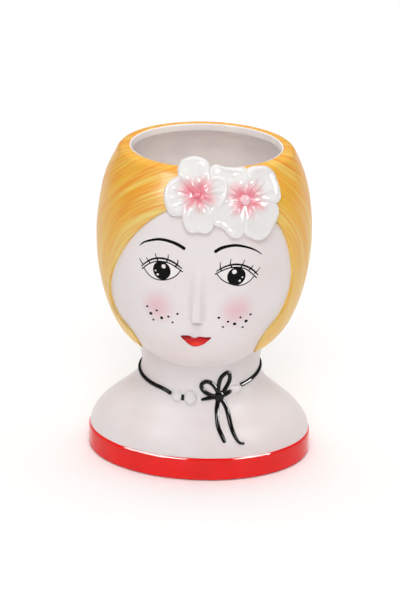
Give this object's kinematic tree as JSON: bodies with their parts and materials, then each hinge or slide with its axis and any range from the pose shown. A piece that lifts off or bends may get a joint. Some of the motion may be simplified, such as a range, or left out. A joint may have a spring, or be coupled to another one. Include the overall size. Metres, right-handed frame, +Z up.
{
  "type": "head planter",
  "caption": "Glazed ceramic planter in the form of a doll-like head on shoulders, open at the crown, with raised hair, blossoms, choker and bow.",
  "frame": {"origin": "centre of the foot, on the surface that the planter stands on", "axes": "+Z up through the neck and the mouth, -Y the way the face looks, +X to the viewer's right when facing it"},
  "size_m": [0.154, 0.153, 0.2278],
  "materials": {
    "skin_glaze": "gloss",
    "hair_glaze": "gloss",
    "red_glaze": "gloss",
    "lip_glaze": "gloss",
    "petal_glaze": "gloss",
    "throat_glaze": "gloss",
    "pearl_glaze": "gloss",
    "black_glaze": "gloss"
  },
  "bodies": {
    "root": {"casting": "skin_glaze", "hair": "hair_glaze", "foot_band": "red_glaze", "lips": "lip_glaze", "left_flower_top_petal": "petal_glaze", "left_flower_side_petal": "petal_glaze", "left_flower_low_petal": "petal_glaze", "left_flower_inner_petal": "petal_glaze", "right_flower_high_inner_petal": "petal_glaze", "right_flower_high_outer_petal": "petal_glaze", "right_flower_low_inner_petal": "petal_glaze", "right_flower_low_outer_petal": "petal_glaze", "left_flower_centre": "throat_glaze", "right_flower_centre": "throat_glaze", "pearl_outer": "pearl_glaze", "pearl_inner": "pearl_glaze", "pearl_right": "pearl_glaze", "choker_band": "black_glaze", "choker_link": "black_glaze", "bow_knot": "black_glaze", "bow_left_loop": "black_glaze", "bow_right_loop": "black_glaze", "bow_left_end": "black_glaze", "bow_right_end": "black_glaze", "bow_left_tail": "black_glaze", "bow_right_tail": "black_glaze"}
  },
  "joints": []
}
